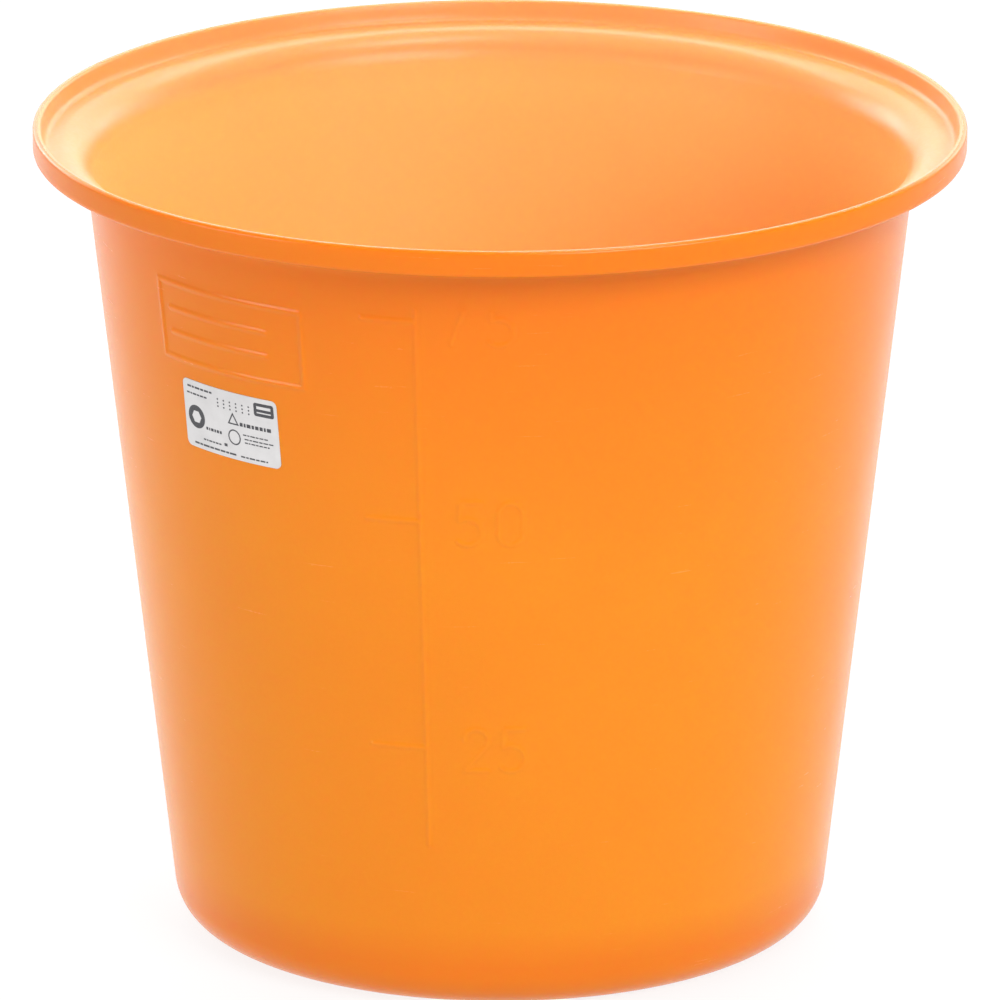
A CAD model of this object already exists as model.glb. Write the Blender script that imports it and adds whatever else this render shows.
import math

import bpy
import numpy as np
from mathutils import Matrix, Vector
from mathutils.geometry import delaunay_2d_cdt


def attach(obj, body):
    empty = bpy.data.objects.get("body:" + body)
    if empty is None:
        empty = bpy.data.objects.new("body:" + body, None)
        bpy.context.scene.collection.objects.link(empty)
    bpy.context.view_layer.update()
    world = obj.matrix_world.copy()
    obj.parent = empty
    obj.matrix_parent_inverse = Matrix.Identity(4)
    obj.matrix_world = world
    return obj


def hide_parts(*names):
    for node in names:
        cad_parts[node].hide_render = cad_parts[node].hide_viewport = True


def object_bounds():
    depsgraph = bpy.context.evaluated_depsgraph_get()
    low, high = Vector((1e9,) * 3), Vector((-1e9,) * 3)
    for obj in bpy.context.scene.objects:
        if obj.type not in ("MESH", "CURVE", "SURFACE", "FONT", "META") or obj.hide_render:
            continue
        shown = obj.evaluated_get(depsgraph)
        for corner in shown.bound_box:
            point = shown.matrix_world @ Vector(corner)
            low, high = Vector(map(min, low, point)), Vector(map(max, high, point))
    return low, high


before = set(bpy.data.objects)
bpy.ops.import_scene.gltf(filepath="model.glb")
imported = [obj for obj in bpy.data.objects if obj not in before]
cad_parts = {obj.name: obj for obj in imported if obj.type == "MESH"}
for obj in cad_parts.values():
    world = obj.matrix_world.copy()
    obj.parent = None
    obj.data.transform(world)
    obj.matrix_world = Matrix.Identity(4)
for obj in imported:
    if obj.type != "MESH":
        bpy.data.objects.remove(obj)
cad_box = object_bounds()
cad_low, cad_high = Vector(cad_box[0]), Vector(cad_box[1])

# The tub's driving dimensions, in metres. The overall ones come from the frame.
HEIGHT = cad_high.z - cad_low.z
RIM_RADIUS = (cad_high.x - cad_low.x) / 2
BASE_RADIUS = 0.2055
WALL_TOP_RADIUS = 0.265
WALL = 0.0045
BASE_CORNER_RADIUS = 0.028
RECESS_RADIUS = 0.158
RECESS_HEIGHT = 0.003
RECESS_STEP = 0.008
STEP_RADIUS = 0.008

LIP_HEIGHT = 0.017
GUTTER_DEPTH = 0.0125
LIP_TOP_WIDTH = 0.005
LIP_LEAN = 0.0025
LIP_EDGE_RADIUS = 0.0023
BAND_EDGE_RADIUS = 0.0035
GUTTER_RADIUS = 0.004
FLARE_RADIUS = 0.022

MARK_HEIGHT = 0.0008                       # how far the raised lines stand out
BEAD_CROWN = 0.0006                        # half the width of a raised line's flat crown
BEAD_FOOT = 0.0024                         # half its width where the soft shoulders meet the wall
SPINE_ANGLE = -11.6
SPINE_BOTTOM = 0.113
SPINE_TOP = 0.4755
TICK_LENGTH = 0.035
DIGIT_HEIGHT = 0.0285
DIGIT_WIDTH = 0.015
# Digits, height of the level line, angle of the number's middle, spacing of the digits
LEVELS = (
    ("75", 0.4665, -3.0, 0.029),
    ("50", 0.333, -1.4, 0.0255),
    ("25", 0.180, -0.8, 0.023),
)
# The frame's sides are angles, its ends heights
FRAME_LEFT = -55.3
FRAME_RIGHT = -28.6
FRAME_BOTTOM = 0.414
FRAME_TOP = 0.464
# Place across the frame, length, and distance above and below its middle
PLATE_BARS = ((-0.020, 0.060, 0.008), (0.020, 0.026, 0.008))

SLOPE = (WALL_TOP_RADIUS - BASE_RADIUS) / HEIGHT
DRAFT = math.atan(SLOPE)                   # the wall's taper
COLUMNS = 360                              # one column of the shell's mesh per degree
ARC_STEP = 0.0015                          # about how far apart the section's points are on its arcs
LEAST_ARC = 4                              # the fewest pieces of an arc
RUN_STEP = 0.014                           # the longest piece of a straight run
TINY = 1e-7                                # lengths below this count as nothing
RIM_HAZE = 0.5                             # share of the inside's haze on the channel and flare

# The stretch of wall that carries the raised marks is meshed by itself, as a patch.
PATCH_LEFT, PATCH_RIGHT = -60, 10          # whole degrees, so that they fall on the shell's columns
PATCH_BOTTOM, PATCH_TOP = 0.099, 0.4885
PATCH_RADIUS = 0.25                        # turns degrees into metres while the patch is flat
DEGREE = math.radians(1) * PATCH_RADIUS
LINE_STEP = 0.0014                         # between points along a raised line
LINE_GAP = 0.0006                          # the least gap between points near a raised line
FAN = 8                                    # points in each ring round a raised line's end
INNER_RINGS = (0.35, 0.7)                  # how far across the shoulder there are points
OUTER_RING = 1.4                           # times BEAD_FOOT: the last points beside a raised line
NEAR_LINE = 1.5                            # times BEAD_FOOT: what still counts as near a raised line
OPEN_STEP = 0.0055                         # between points on the open wall
OPEN_GAP = 0.003                           # the least gap between those points
BORDER_GAP = 0.001                         # the least gap between the patch's border and its other points
MERGE = 1e-6                               # points nearer than this become one


def wall_radius(height, offset=0.0):
    """Radius of the wall's outside at a height, moved outwards by offset, square to the surface."""
    return BASE_RADIUS + SLOPE * height + offset / math.cos(DRAFT)


# ---------------------------------------------------------------- mesh helpers

def make_object(name, verts, faces, material, replaces=()):
    """A smooth-shaded mesh object that rides on the tub's only body."""
    mesh = bpy.data.meshes.new(name)
    mesh.from_pydata([tuple(v) for v in verts], [], [tuple(f) for f in faces])
    mesh.validate()
    mesh.update()
    mesh.polygons.foreach_set("use_smooth", [True] * len(mesh.polygons))
    mesh.materials.append(material)
    piece = bpy.data.objects.new(name, mesh)
    bpy.context.collection.objects.link(piece)
    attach(piece, "root")
    if replaces:
        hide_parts(*replaces)
    return piece


def rounded_outline(corners, step):
    """Points along a polyline whose corners (x, y, radius) are rounded, spaced about step on the arcs."""
    points = []
    count = len(corners)
    for i, (x, y, radius) in enumerate(corners):
        here = np.array([x, y])
        if radius == 0 or i in (0, count - 1):
            points.append(here)
            continue
        before = np.array(corners[i - 1][:2]) - here
        after = np.array(corners[i + 1][:2]) - here
        before /= np.linalg.norm(before)
        after /= np.linalg.norm(after)
        half = math.acos(np.clip(before @ after, -1, 1)) / 2
        reach = radius / math.tan(half)
        bisector = before + after
        centre = here + bisector / np.linalg.norm(bisector) * radius / math.sin(half)
        start = here + before * reach - centre
        turn = math.pi - 2 * half
        side = np.sign(before[0] * after[1] - before[1] * after[0])
        pieces = max(LEAST_ARC, math.ceil(radius * turn / step))
        for k in range(pieces + 1):
            angle = -side * turn * k / pieces
            c, s = math.cos(angle), math.sin(angle)
            points.append(centre + np.array([c * start[0] - s * start[1], s * start[0] + c * start[1]]))
    return points


def spaced(points, longest):
    """The same line with each straight run in three pieces or more, none longer than longest."""
    out = [points[0]]
    for a, b in zip(points[:-1], points[1:]):
        length = np.linalg.norm(b - a)
        pieces = max(3, math.ceil(length / longest)) if length > 2 * ARC_STEP else 1
        out += [a + (b - a) * k / pieces for k in range(1, pieces + 1)]
    return out


# ---------------------------------------------------------------- the shell

def shell_outline():
    """The shell's section as (radius, height), from the middle of the underside round to the inside."""
    underside = HEIGHT - LIP_HEIGHT
    channel = HEIGHT - GUTTER_DEPTH
    lip_inside = RIM_RADIUS - LIP_TOP_WIDTH
    across = WALL / math.cos(DRAFT)
    corners = (
        (0.0, RECESS_HEIGHT, 0.0),
        (RECESS_RADIUS, RECESS_HEIGHT, STEP_RADIUS),
        (RECESS_RADIUS + RECESS_STEP, 0.0, STEP_RADIUS),
        (BASE_RADIUS, 0.0, BASE_CORNER_RADIUS),
        (wall_radius(underside), underside, FLARE_RADIUS - WALL),
        (RIM_RADIUS, underside, BAND_EDGE_RADIUS),
        (RIM_RADIUS, HEIGHT, LIP_EDGE_RADIUS),
        (lip_inside, HEIGHT, LIP_EDGE_RADIUS),
        (lip_inside - LIP_LEAN, channel, GUTTER_RADIUS),
        (wall_radius(channel) - across, channel, FLARE_RADIUS),
        (wall_radius(WALL) - across, WALL, BASE_CORNER_RADIUS - WALL),
        (RECESS_RADIUS + RECESS_STEP, WALL, STEP_RADIUS),
        (RECESS_RADIUS, WALL + RECESS_HEIGHT, STEP_RADIUS),
        (0.0, WALL + RECESS_HEIGHT, 0.0),
    )
    return rounded_outline(corners, ARC_STEP)


def at(angle, radius, height):
    """A point round the tub; angle in degrees from -Y, positive towards +X."""
    turn = math.radians(angle)
    return (radius * math.sin(turn), -radius * math.cos(turn), height)


def bead_height(distance):
    """How far a raised line stands out at a distance from its middle, with soft shoulders."""
    t = np.clip((distance - BEAD_CROWN) / (BEAD_FOOT - BEAD_CROWN), 0, 1)
    return MARK_HEIGHT * (1 - t * t * (3 - 2 * t))


def arc_through(start, middle, end, count=14):
    """Points on the arc through three points."""
    (ax, ay), (bx, by), (cx, cy) = start, middle, end
    d = 2 * (ax * (by - cy) + bx * (cy - ay) + cx * (ay - by))
    ux = ((ax**2 + ay**2) * (by - cy) + (bx**2 + by**2) * (cy - ay) + (cx**2 + cy**2) * (ay - by)) / d
    uy = ((ax**2 + ay**2) * (cx - bx) + (bx**2 + by**2) * (ax - cx) + (cx**2 + cy**2) * (bx - ax)) / d
    angles = [math.atan2(y - uy, x - ux) for x, y in (start, middle, end)]
    sweep = (angles[2] - angles[0]) % (2 * math.pi)
    if (angles[1] - angles[0]) % (2 * math.pi) > sweep:
        sweep -= 2 * math.pi
    radius = math.hypot(ax - ux, ay - uy)
    turns = [angles[0] + sweep * k / count for k in range(count + 1)]
    return [(ux + radius * math.cos(t), uy + radius * math.sin(t)) for t in turns]


def digit_lines(name):
    """The middle lines of a plain digit about the origin."""
    w, h = DIGIT_WIDTH / 2, DIGIT_HEIGHT / 2
    if name == "7":
        return [[(-w, h), (w, h), (-0.25 * w, -h)]]
    if name == "5":
        waist = (-0.85 * w, 0.12 * h)
        bowl = arc_through(waist, (w, -0.44 * h), (-w, -0.86 * h))
        return [[(w, h), (-0.75 * w, h), waist], bowl]
    if name == "2":
        crown = arc_through((-w, 0.45 * h), (0, h), (0.88 * w, 0.22 * h))
        return [crown + [(-w, -h), (w, -h)]]
    top = arc_through((-w, h - w), (0, h), (w, h - w))
    bottom = arc_through((w, w - h), (0, -h), (-w, w - h))
    return [top + bottom + [(-w, h - w)]]


def wall_lines():
    """Every raised line on the wall, as points (angle, height)."""
    lean = math.cos(DRAFT)

    def placed(line, angle, height):
        around = math.degrees(1 / wall_radius(height))
        return [(angle + x * around, height + y * lean) for x, y in line]

    lines = [[(SPINE_ANGLE, SPINE_BOTTOM), (SPINE_ANGLE, SPINE_TOP)]]
    for number, height, angle, pitch in LEVELS:
        lines.append(placed([(-TICK_LENGTH, 0), (0, 0)], SPINE_ANGLE, height))
        for name, shift in zip(number, (-pitch / 2, pitch / 2)):
            for line in digit_lines(name):
                lines.append(placed([(x + shift, y) for x, y in line], angle, height))
    for angle in (FRAME_LEFT, FRAME_RIGHT):
        lines.append([(angle, FRAME_BOTTOM), (angle, FRAME_TOP)])
    for height in (FRAME_BOTTOM, FRAME_TOP):
        lines.append([(FRAME_LEFT, height), (FRAME_RIGHT, height)])
    middle_angle, middle = (FRAME_LEFT + FRAME_RIGHT) / 2, (FRAME_BOTTOM + FRAME_TOP) / 2
    for x, length, y in PLATE_BARS:
        for side in (-y, y):
            bar = [(x - length / 2, side), (x + length / 2, side)]
            lines.append(placed(bar, middle_angle, middle))
    return lines


def distance_to(points, lines):
    """The distance from each point to the nearest of some polylines."""
    best = np.full(len(points), 1.0)
    for line in lines:
        for a, b in zip(line[:-1], line[1:]):
            a, b = np.array(a), np.array(b)
            along = b - a
            t = np.clip(((points - a) @ along) / (along @ along), 0, 1)
            best = np.minimum(best, np.linalg.norm(points - a - t[:, None] * along, axis=1))
    return best


def samples_along(line, step, offsets):
    """Points beside a polyline at the given offsets, with a fan round each end."""
    out = []
    line = [np.array(p) for p in line]
    for a, b in zip(line[:-1], line[1:]):
        length = np.linalg.norm(b - a)
        along = (b - a) / length
        side = np.array([-along[1], along[0]])
        pieces = max(1, round(length / step))
        for k in range(pieces + 1):
            middle = a + (b - a) * k / pieces
            out += [middle + side * offset for offset in offsets]
    for end in (line[0], line[-1]):
        for offset in offsets:
            if offset > 0:
                for k in range(FAN):
                    turn = k * 2 * math.pi / FAN
                    out.append(end + offset * np.array([math.cos(turn), math.sin(turn)]))
    return out


def thinned(points, gap):
    """The points in order, without any that is nearer than gap to one already kept."""
    cells, kept = {}, []
    for p in points:
        key = (math.floor(p[0] / gap), math.floor(p[1] / gap))
        near = [cells.get((key[0] + i, key[1] + j), ()) for i in (-1, 0, 1) for j in (-1, 0, 1)]
        if all((p[0] - q[0]) ** 2 + (p[1] - q[1]) ** 2 >= gap * gap for cell in near for q in cell):
            cells.setdefault(key, []).append(p)
            kept.append(p)
    return kept


def patch_border(last):
    """The patch's border as (column, row number) pairs, once round, for rows numbered 0 to last."""
    columns = list(range(PATCH_LEFT, PATCH_RIGHT + 1))
    border = [(column, 0) for column in columns]
    border += [(PATCH_RIGHT, row) for row in range(1, last)]
    border += [(column, last) for column in reversed(columns)]
    return border + [(PATCH_LEFT, row) for row in range(last - 1, 0, -1)]


def patch_mesh(rows):
    """The patch's points, laid flat, its triangles, and how far each point stands out.

    The points of patch_border come first."""
    left, right = PATCH_LEFT * DEGREE, PATCH_RIGHT * DEGREE
    low, high = rows[0], rows[-1]
    lines = [[(a * DEGREE, z) for a, z in line] for line in wall_lines()]
    border = [(column * DEGREE, rows[row]) for column, row in patch_border(len(rows) - 1)]
    shoulder = BEAD_FOOT - BEAD_CROWN
    reaches = [BEAD_CROWN] + [BEAD_CROWN + share * shoulder for share in INNER_RINGS]
    reaches += [BEAD_FOOT, OUTER_RING * BEAD_FOOT]
    rings = [0.0] + [side * reach for reach in reaches for side in (1, -1)]
    beside = [p for line in lines for p in samples_along(line, LINE_STEP, rings)]
    across = np.arange(left + OPEN_STEP, right - OPEN_STEP / 2, OPEN_STEP)
    up = np.arange(low + OPEN_STEP, high - OPEN_STEP / 2, OPEN_STEP)
    plain = [(x, z) for x in across for z in up]

    def clear_of_border(x, z):
        return (left + BORDER_GAP < x < right - BORDER_GAP
                and low + BORDER_GAP < z < high - BORDER_GAP)

    within = [p for p in beside + plain if clear_of_border(*p)]
    away = distance_to(np.array(within), lines)
    beside_line = [tuple(p) for p, d in zip(within, away) if d <= NEAR_LINE * BEAD_FOOT]
    open_wall = [tuple(p) for p, d in zip(within, away) if d > NEAR_LINE * BEAD_FOOT]
    kept = border + thinned(beside_line, LINE_GAP) + thinned(open_wall, OPEN_GAP)
    flat = [Vector((float(x), float(z))) for x, z in kept]
    loop = [(i, (i + 1) % len(border)) for i in range(len(border))]
    points, _, triangles, *_ = delaunay_2d_cdt(flat, loop, [], 1, MERGE)
    points = np.array([(p.x, p.y) for p in points])
    raised = bead_height(distance_to(points, lines))
    return points, triangles, raised


def shell_mesh():
    """The shell's vertices, its faces, and each vertex's share of the inside's haze.

    It is rings round the axis, with the patch cut into the outside."""
    outline = spaced(shell_outline(), RUN_STEP)
    outside = [i for i, (r, z) in enumerate(outline)
               if abs(r - wall_radius(z)) < TINY and BASE_CORNER_RADIUS < z < HEIGHT - 2 * LIP_HEIGHT]
    marked = [i for i in outside if PATCH_BOTTOM < outline[i][1] < PATCH_TOP]
    verts, faces, hazes = [], [], []
    ring_start = {}
    crest = max(range(len(outline)), key=lambda i: outline[i][1])
    for i, (radius, height) in enumerate(outline):
        ring_start[i] = len(verts)
        columns = range(1 if radius < TINY else COLUMNS)
        verts += [at(column, radius, height) for column in columns]
        depth = (HEIGHT - GUTTER_DEPTH - height) / FLARE_RADIUS
        hazes += [min(max(depth, RIM_HAZE), 1.0) if i > crest else 0.0] * len(columns)
    last = len(outline) - 1
    in_patch = set(column % COLUMNS for column in range(PATCH_LEFT, PATCH_RIGHT))
    for i in range(last):
        a, b = ring_start[i], ring_start[i + 1]
        for column in range(COLUMNS):
            after = (column + 1) % COLUMNS
            if i == 0:
                faces.append((a, b + after, b + column))
            elif i == last - 1:
                faces.append((a + column, a + after, b))
            elif i in marked[:-1] and column in in_patch:
                continue
            else:
                faces.append((a + column, a + after, b + after, b + column))
    rows = [float(outline[i][1]) for i in marked]
    points, triangles, raised = patch_mesh(rows)
    index = [ring_start[marked[row]] + column % COLUMNS for column, row in patch_border(len(rows) - 1)]
    for (x, z), height in zip(points[len(index):], raised[len(index):]):
        index.append(len(verts))
        verts.append(at(x / DEGREE, wall_radius(z, height), z - height * math.sin(DRAFT)))
    faces += [tuple(index[k] for k in triangle) for triangle in triangles]
    hazes += [0.0] * (len(verts) - len(hazes))
    used = sorted({k for face in faces for k in face})
    number = {k: place for place, k in enumerate(used)}
    return ([verts[k] for k in used], [tuple(number[k] for k in face) for face in faces],
            [hazes[k] for k in used])


# ---------------------------------------------------------------- materials

def add_node(material, kind, inputs=(), **settings):
    """A shader node with its settings made, and each listed socket given a value or joined to another."""
    made = material.node_tree.nodes.new(kind)
    for name, value in settings.items():
        setattr(made, name, value)
    for socket, value in inputs:
        if isinstance(value, bpy.types.NodeSocket):
            material.node_tree.links.new(value, made.inputs[socket])
        else:
            made.inputs[socket].default_value = value
    return made


def new_material(name, **values):
    """A material with one Principled shader, whose sockets have the given values."""
    material = bpy.data.materials.new(name)
    material.use_nodes = True
    for socket, value in values.items():
        material.node_tree.nodes["Principled BSDF"].inputs[socket.replace("_", " ")].default_value = value
    return material


def feed(material, socket, value):
    """Joins a value to a socket of the material's Principled shader."""
    material.node_tree.links.new(value, material.node_tree.nodes["Principled BSDF"].inputs[socket])


def place_in(material, stretch=(1, 1, 1)):
    """The surface's place in the tub's own frame, in metres, stretched along its axes."""
    here = add_node(material, "ShaderNodeTexCoord").outputs["Object"]
    made = add_node(material, "ShaderNodeVectorMath", [(0, here), (1, stretch)], operation="MULTIPLY")
    return made.outputs[0]


def noise(material, where, scale, detail=2.0):
    """Smooth noise, as a number about 0.5."""
    inputs = [("Vector", where), ("Scale", scale), ("Detail", detail)]
    return add_node(material, "ShaderNodeTexNoise", inputs).outputs[0]


def mapped(material, value, low, high, to_low, to_high):
    """A value carried over from one range to another, and held at its ends."""
    inputs = [("Value", value), ("From Min", low), ("From Max", high),
              ("To Min", to_low), ("To Max", to_high)]
    return add_node(material, "ShaderNodeMapRange", inputs).outputs[0]


def mixed(material, share, first, second):
    """A colour between two, by the share of the second."""
    inputs = [(0, share), (6, first), (7, second)]      # the sockets that a mix of colours uses
    return add_node(material, "ShaderNodeMix", inputs, data_type="RGBA").outputs[2]


def summed(material, first, second):
    """Two numbers added."""
    return add_node(material, "ShaderNodeMath", [(0, first), (1, second)], operation="ADD").outputs[0]


def bump(material, height, depth, under=None):
    """Fine relief of a depth in metres, over another relief if one is given."""
    inputs = [("Height", height), ("Distance", depth), ("Strength", 1.0)]
    if under:
        inputs.append(("Normal", under))
    return add_node(material, "ShaderNodeBump", inputs).outputs[0]


ORANGE = (0.75, 0.245, 0.003, 1)           # the pigment on the outside
ORANGE_DEEP = (0.73, 0.218, 0.002, 1)      # where the pigment is denser
ORANGE_THICK = (0.72, 0.182, 0.002, 1)     # the thicker corner and rim, which let less light through
ORANGE_FLARE = (0.80, 0.300, 0.090, 1)     # the milky bloom on the channel and the flare
ORANGE_HAZY = (0.87, 0.435, 0.130, 1)      # the duller, milky inside
ORANGE_RUBBED = (0.95, 0.420, 0.080, 1)    # fine scuffs
FILM_CLEAN, FILM_SOILED = (0.64, 0.63, 0.63, 1), (0.57, 0.56, 0.56, 1)
GLUE_DARK, GLUE_PALE = (0.62, 0.55, 0.44, 1), (0.78, 0.72, 0.62, 1)
INK_FULL, INK_THIN = (0.022, 0.022, 0.026, 1), (0.09, 0.09, 0.10, 1)
THICK_CORNER = (0.030, 0.055)              # heights between which the corner thins out into the wall
THICK_RIM = (0.300, 0.480)                 # heights between which the wall grows thicker towards the rim


def tub_material():
    """Moulded polyethylene: translucent orange, satin outside and hazier inside, with light scuffs."""
    material = new_material("orange_polyethylene", Specular_IOR_Level=0.25, Subsurface_Weight=0.85,
                            Subsurface_Radius=(1.0, 0.45, 0.15), Subsurface_Scale=0.004)
    place = place_in(material)
    inside = add_node(material, "ShaderNodeAttribute", attribute_name="inside").outputs["Fac"]
    cloud = noise(material, place, 5.0, 3.0)
    speckle = noise(material, place, 420.0, 2.0)
    peel = noise(material, place, 190.0, 2.0)
    waves = noise(material, place, 22.0, 1.0)
    streaks = noise(material, place_in(material, (22, 22, 500)), 1.0, 3.0)
    drift = summed(material, mapped(material, cloud, 0.3, 0.7, 0.0, 0.7),
                   mapped(material, speckle, 0.3, 0.7, 0.0, 0.3))
    pigment = mixed(material, drift, ORANGE_DEEP, ORANGE)
    height = add_node(material, "ShaderNodeSeparateXYZ", [(0, place)]).outputs["Z"]
    pigment = mixed(material, mapped(material, height, *THICK_CORNER, 1.0, 0.0), pigment, ORANGE_THICK)
    pigment = mixed(material, mapped(material, height, *THICK_RIM, 0.0, 1.0), pigment, ORANGE_THICK)
    pigment = mixed(material, mapped(material, inside, 0.0, RIM_HAZE, 0.0, 1.0), pigment, ORANGE_FLARE)
    pigment = mixed(material, mapped(material, inside, RIM_HAZE, 1.0, 0.0, 1.0), pigment, ORANGE_HAZY)
    scuff = mapped(material, streaks, 0.70, 0.80, 0.0, 0.16)
    feed(material, "Base Color", mixed(material, scuff, pigment, ORANGE_RUBBED))
    satin = mapped(material, speckle, 0.3, 0.7, 0.20, 0.27)
    satin = summed(material, satin, mapped(material, inside, 0.0, 1.0, 0.0, 0.15))
    feed(material, "Roughness", summed(material, satin, mapped(material, scuff, 0.0, 0.16, 0.0, 0.08)))
    feed(material, "Normal", bump(material, peel, 0.00003, bump(material, waves, 0.0003)))
    return material


def label_material():
    """Silver-white label film: a faint brushed sheen, a little uneven where it follows the wall."""
    material = new_material("label_white", Specular_IOR_Level=0.5, Metallic=0.15)
    place = place_in(material)
    grain = noise(material, place_in(material, (300, 300, 4000)), 1.0, 2.0)
    soil = noise(material, place, 60.0, 4.0)
    soiled = mapped(material, soil, 0.35, 0.7, 0.0, 1.0)
    feed(material, "Base Color", mixed(material, soiled, FILM_CLEAN, FILM_SOILED))
    feed(material, "Roughness", mapped(material, grain, 0.3, 0.7, 0.30, 0.42))
    feed(material, "Normal", bump(material, soil, 0.00004))
    return material


def adhesive_material():
    """The clear adhesive that shows as a thin line round the film."""
    material = new_material("adhesive_clear", Specular_IOR_Level=0.4)
    dust = noise(material, place_in(material), 700.0, 3.0)
    feed(material, "Base Color", mixed(material, dust, GLUE_DARK, GLUE_PALE))
    feed(material, "Roughness", mapped(material, dust, 0.3, 0.7, 0.35, 0.6))
    return material


def ink_material():
    """Dark printed ink, thinner in places."""
    material = new_material("print_ink", Specular_IOR_Level=0.4)
    cover = noise(material, place_in(material), 2200.0, 2.0)
    worn = mapped(material, cover, 0.35, 0.7, 0.0, 1.0)
    feed(material, "Base Color", mixed(material, worn, INK_FULL, INK_THIN))
    feed(material, "Roughness", mapped(material, cover, 0.3, 0.7, 0.35, 0.5))
    return material


def repaint(node, material):
    """Gives a CAD node a finished material in place of its plain one."""
    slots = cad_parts[node].data.materials
    slots.clear()
    slots.append(material)


shell_verts, shell_faces, shell_hazes = shell_mesh()
tub = make_object("tub_body", shell_verts, shell_faces, tub_material(),
                  ("tub_shell",))
tub.data.attributes.new("inside", "FLOAT", "POINT").data.foreach_set("value", shell_hazes)
repaint("label_film", label_material())
repaint("label_adhesive", adhesive_material())
repaint("label_print", ink_material())


# ---------------------------------------------------------------- camera, floor and light

def look_from(distance, height, pitch, focal):
    """The camera, in front of the tub at a height, turned down by pitch."""
    data = bpy.data.cameras.new("camera")
    data.sensor_width = 36.0
    data.lens = focal
    data.clip_end = 100.0
    camera = bpy.data.objects.new("camera", data)
    camera.location = (0, -distance, height)
    camera.rotation_euler = (math.radians(90) - pitch, 0, 0)
    bpy.context.collection.objects.link(camera)
    bpy.context.scene.camera = camera


# Distance and height go with the rim, pitch is in radians and the focal length in millimetres.
CAMERA_DISTANCE = 28.415 * RIM_RADIUS
CAMERA_HEIGHT = 9.779 * RIM_RADIUS
CAMERA_PITCH = math.radians(17.307)
CAMERA_FOCAL = 496.5
look_from(CAMERA_DISTANCE, CAMERA_HEIGHT, CAMERA_PITCH, CAMERA_FOCAL)

FLOOR_REACH = 8
FLOOR_GAP = 0.0003                         # keeps the floor and the foot ring from sharing a plane
floor_mesh = bpy.data.meshes.new("floor")
floor_corners = [(FLOOR_REACH * x, FLOOR_REACH * y, 0) for x, y in ((-1, -1), (1, -1), (1, 1), (-1, 1))]
floor_mesh.from_pydata(floor_corners, [], [(0, 1, 2, 3)])
floor = bpy.data.objects.new("floor", floor_mesh)
bpy.context.collection.objects.link(floor)
floor.location.z = cad_low.z - FLOOR_GAP
floor_paint = new_material("floor_paint", Base_Color=(0.12, 0.12, 0.12, 1), Roughness=0.8,
                           Specular_IOR_Level=0.1, Emission_Color=(1, 1, 1, 1),
                           Emission_Strength=0.85)                  # a light table, so the floor is white
floor_mesh.materials.append(floor_paint)

world = bpy.data.worlds.new("world")
bpy.context.scene.world = world
world.use_nodes = True
background = world.node_tree.nodes["Background"]
background.inputs["Color"].default_value = (1, 1, 1, 1)
background.inputs["Strength"].default_value = 0.6
bpy.context.scene.view_settings.view_transform = "Standard"


def softbox(name, place, target, width, depth, power):
    """A rectangular soft light that faces a target."""
    data = bpy.data.lights.new(name, "AREA")
    data.shape = "RECTANGLE"
    data.size = width
    data.size_y = depth
    data.energy = power
    lamp = bpy.data.objects.new(name, data)
    lamp.visible_camera = False
    lamp.location = place
    lamp.rotation_euler = (Vector(target) - Vector(place)).to_track_quat("-Z", "Y").to_euler()
    bpy.context.collection.objects.link(lamp)


softbox("top_light", (0.4, 0.0, 2.4), (0, 0, 0.4), 0.6, 0.6, 14)
softbox("high_back_light", (0, 1.7, 2.2), (0, 0, 0.4), 2.6, 0.35, 28)
softbox("front_light", (1.6, -2.5, 2.1), (0, 0, 0.25), 2.0, 1.6, 91)
softbox("low_left_light", (-2.6, -1.3, 0.9), (0, 0, 0.3), 1.4, 0.8, 22)
softbox("back_light", (0, 4.0, 1.5), (0, 0, 0.3), 6.0, 2.4, 85)
softbox("back_left_light", (-2.4, 2.6, 1.5), (-0.8, 1.2, 0), 2.0, 1.4, 42)
softbox("back_right_light", (2.4, 2.6, 1.6), (0.8, 1.2, 0), 2.0, 1.4, 22)
